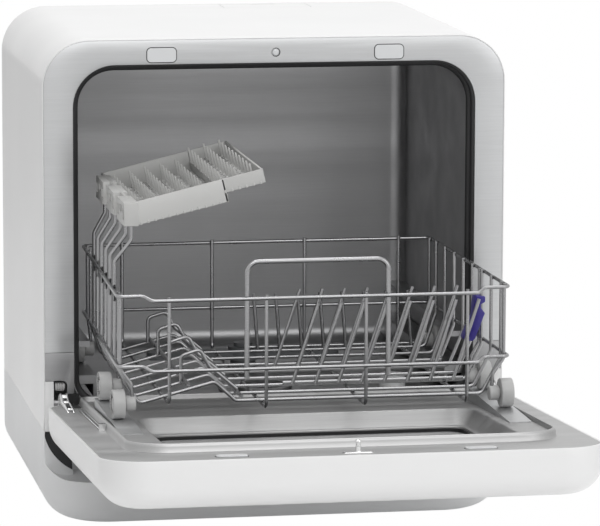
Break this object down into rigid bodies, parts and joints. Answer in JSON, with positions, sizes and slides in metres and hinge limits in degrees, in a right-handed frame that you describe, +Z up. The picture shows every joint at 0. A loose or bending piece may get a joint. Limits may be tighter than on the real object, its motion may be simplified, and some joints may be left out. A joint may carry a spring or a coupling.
{
  "type": "countertop dishwasher",
  "caption": "Box-shaped countertop dishwasher with a drop-down glass-panelled front door, a wheeled wire rack pulled out over it, a raised cutlery tray and a spray arm in a steel tub.",
  "frame": {"origin": "centre of the bounding box at the level of the feet, with the door open and the rack pulled out", "axes": "+X to the right seen from the front, +Y back from the open door into the cabinet, +Z up"},
  "size_m": [0.42, 0.7619, 0.435],
  "materials": {
    "shell_white": "semi-gloss",
    "base_white": "satin",
    "frame_metal": "brushed satin",
    "tub_steel": "satin",
    "seal_rubber": "matte",
    "light_plastic": "satin",
    "grey_plastic": "satin",
    "pump_metal": "satin",
    "dark_glass": "polished",
    "board_green": "satin",
    "rack_wire": "satin coated",
    "tray_plastic": "satin",
    "blue_plastic": "satin"
  },
  "bodies": {
    "cabinet": {"cabinet_shell": "shell_white", "rear_cover": "base_white", "base_housing": "base_white", "front_frame": "frame_metal", "hinge_covers": "frame_metal", "tub": "tub_steel", "tub_rail_left": "tub_steel", "tub_rail_right": "tub_steel", "door_gasket": "seal_rubber", "frame_pads": "light_plastic", "hinge_guides": "tub_steel", "sump": "grey_plastic", "filter_plate": "tub_steel", "wash_pump": "pump_metal", "drain_pump": "grey_plastic", "heater": "tub_steel", "water_tank": "base_white", "filler_duct": "base_white", "inlet_valve": "base_white", "drain_spigot": "base_white", "cord_gland": "seal_rubber", "rubber_feet": "seal_rubber", "cabinet_screws": "tub_steel", "spray_post": "grey_plastic"},
    "door": {"door_shell": "shell_white", "door_inner_panel": "frame_metal", "inner_window": "dark_glass", "window_seal": "seal_rubber", "front_window": "dark_glass", "control_board": "board_green", "door_rails": "frame_metal", "door_pads": "light_plastic", "door_striker": "frame_metal", "hinge_arm_left": "tub_steel", "hinge_arm_right": "tub_steel"},
    "rack": {"rack_front": "rack_wire", "rack_handle": "rack_wire", "rack_rear": "rack_wire", "rack_side_left": "rack_wire", "rack_side_right": "rack_wire", "rack_floor": "rack_wire", "rack_tines": "rack_wire", "cup_rests": "rack_wire", "tray_posts": "rack_wire", "wheel_hubs": "light_plastic", "rinse_clip": "blue_plastic"},
    "tray": {"cutlery_tray": "tray_plastic"},
    "spray": {"spray_arm": "grey_plastic"},
    "lid": {"filler_lid": "shell_white"},
    "cup": {"filter_cup": "tub_steel"},
    "float": {"float_dome": "base_white"},
    "catch": {"latch_catch": "grey_plastic"},
    "wash_rotor": {"wash_impeller": "grey_plastic"},
    "drain_rotor": {"drain_impeller": "grey_plastic"},
    "wheel_left_1_body": {"wheel_left_1": "light_plastic"},
    "wheel_left_2_body": {"wheel_left_2": "light_plastic"},
    "wheel_left_3_body": {"wheel_left_3": "light_plastic"},
    "wheel_right_1_body": {"wheel_right_1": "light_plastic"},
    "wheel_right_2_body": {"wheel_right_2": "light_plastic"},
    "wheel_right_3_body": {"wheel_right_3": "light_plastic"}
  },
  "joints": [
    {"name": "door_hinge", "type": "hinge", "parent": "cabinet", "child": "door", "pos_m": [0, -0.01803, 0.069], "axis": [-1, 0, 0], "range_deg": [-3.8, 0], "stiffness_Nm_per_rad": 8, "springref_deg": 51.57},
    {"name": "rack_slide", "type": "slide", "parent": "cabinet", "child": "rack", "axis": [0, 1, 0], "range_m": [0, 0.217]},
    {"name": "tray_lift", "type": "slide", "parent": "rack", "child": "tray", "axis": [0, 0, 1], "range_m": [0, 0.03]},
    {"name": "spray_spin", "type": "hinge", "parent": "cabinet", "child": "spray", "pos_m": [0, 0.20297, 0.118], "axis": [0, 0, 1], "continuous": true},
    {"name": "filler_lid_hinge", "type": "hinge", "parent": "cabinet", "child": "lid", "pos_m": [0.042, 0.31337, 0.4326], "axis": [1, 0, 0], "range_deg": [0, 100]},
    {"name": "filter_cup_lift", "type": "slide", "parent": "cabinet", "child": "cup", "axis": [0, 0, 1], "range_m": [0, 0.025]},
    {"name": "float_lift", "type": "slide", "parent": "cabinet", "child": "float", "axis": [0, 0, 1], "range_m": [0, 0.008]},
    {"name": "latch_catch_slide", "type": "slide", "parent": "cabinet", "child": "catch", "axis": [0, 0, 1], "range_m": [0, 0.003], "stiffness_N_per_m": 400, "springref_m": -0.002},
    {"name": "wash_pump_spin", "type": "hinge", "parent": "cabinet", "child": "wash_rotor", "pos_m": [-0.086, 0.12297, 0.046], "axis": [0, 1, 0], "continuous": true},
    {"name": "drain_pump_spin", "type": "hinge", "parent": "cabinet", "child": "drain_rotor", "pos_m": [0.092, 0.08697, 0.04], "axis": [0, 1, 0], "continuous": true},
    {"name": "wheel_left_1_roll", "type": "hinge", "parent": "rack", "child": "wheel_left_1_body", "pos_m": [-0.169, -0.16503, 0.143], "axis": [1, 0, 0], "continuous": true},
    {"name": "wheel_left_2_roll", "type": "hinge", "parent": "rack", "child": "wheel_left_2_body", "pos_m": [-0.169, -0.07903, 0.143], "axis": [1, 0, 0], "continuous": true},
    {"name": "wheel_left_3_roll", "type": "hinge", "parent": "rack", "child": "wheel_left_3_body", "pos_m": [-0.169, 0.10897, 0.143], "axis": [1, 0, 0], "continuous": true},
    {"name": "wheel_right_1_roll", "type": "hinge", "parent": "rack", "child": "wheel_right_1_body", "pos_m": [0.169, -0.16503, 0.143], "axis": [1, 0, 0], "continuous": true},
    {"name": "wheel_right_2_roll", "type": "hinge", "parent": "rack", "child": "wheel_right_2_body", "pos_m": [0.169, -0.07903, 0.143], "axis": [1, 0, 0], "continuous": true},
    {"name": "wheel_right_3_roll", "type": "hinge", "parent": "rack", "child": "wheel_right_3_body", "pos_m": [0.169, 0.10897, 0.143], "axis": [1, 0, 0], "continuous": true}
  ],
  "couplings": [
    {"joint": "wheel_left_1_roll", "follows": "rack_slide", "rad_per_m": -80},
    {"joint": "wheel_left_2_roll", "follows": "rack_slide", "rad_per_m": -80},
    {"joint": "wheel_left_3_roll", "follows": "rack_slide", "rad_per_m": -80},
    {"joint": "wheel_right_1_roll", "follows": "rack_slide", "rad_per_m": -80},
    {"joint": "wheel_right_2_roll", "follows": "rack_slide", "rad_per_m": -80},
    {"joint": "wheel_right_3_roll", "follows": "rack_slide", "rad_per_m": -80}
  ]
}
